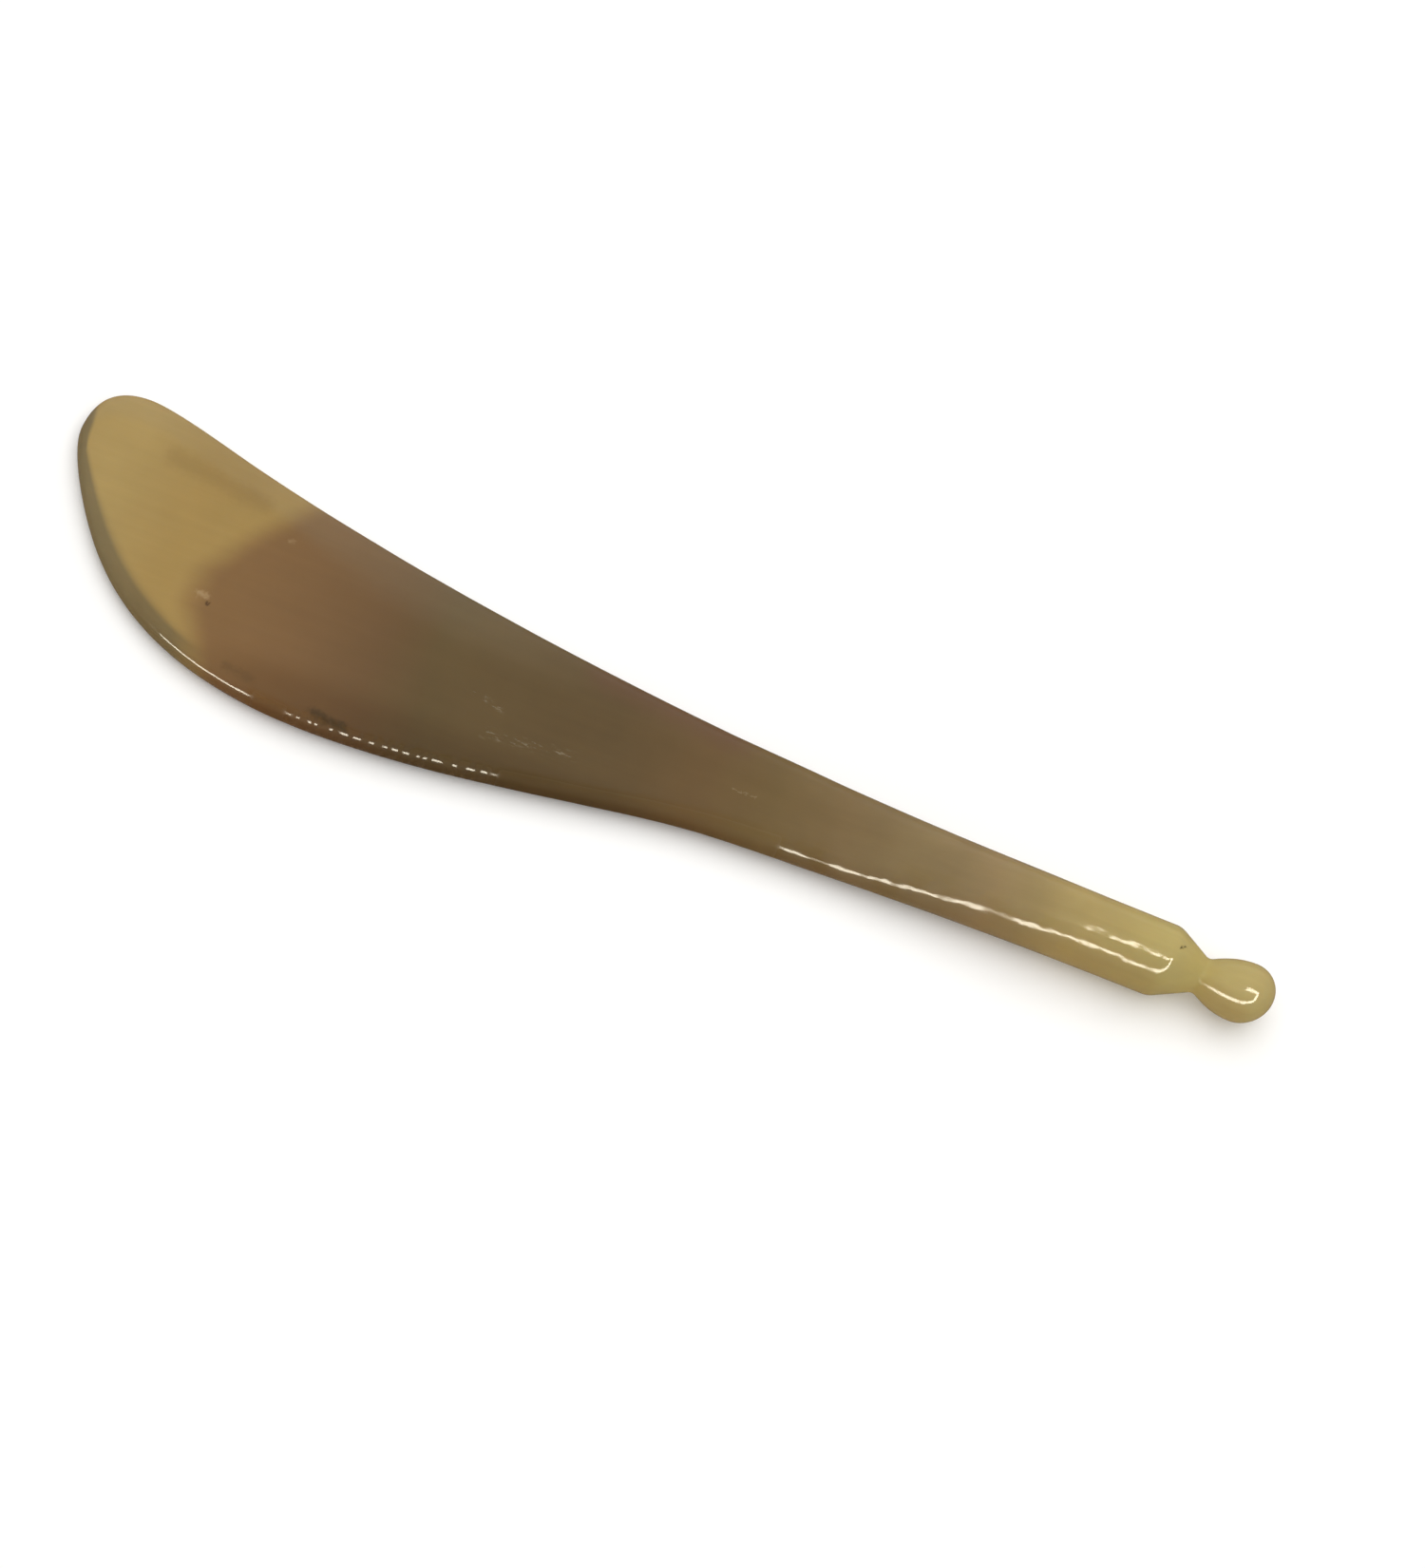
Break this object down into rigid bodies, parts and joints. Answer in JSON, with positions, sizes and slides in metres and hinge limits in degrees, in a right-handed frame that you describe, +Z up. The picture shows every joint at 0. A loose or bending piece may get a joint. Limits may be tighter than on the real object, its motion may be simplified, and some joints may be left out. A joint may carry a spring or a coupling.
{
  "type": "gua sha scraper",
  "caption": "One-piece carved horn gua sha stick: broad thin blade with a round upturned tip, flat-to-round handle and a small ball end for pressing points.",
  "frame": {"origin": "under the middle of the outline, on the plane of the flat back that the part lies on", "axes": "+X along the stick from the blade's tip to the ball, +Y towards the blade's straight edge, +Z up out of the broad face"},
  "size_m": [0.17, 0.0356, 0.01],
  "materials": {
    "horn": "polished translucent animal horn, blond at both ends and smoky olive-brown along the body"
  },
  "bodies": {
    "root": {"scraping_blade": "horn", "grip": "horn", "neck_cone": "horn", "ball_tip": "horn"}
  },
  "joints": []
}
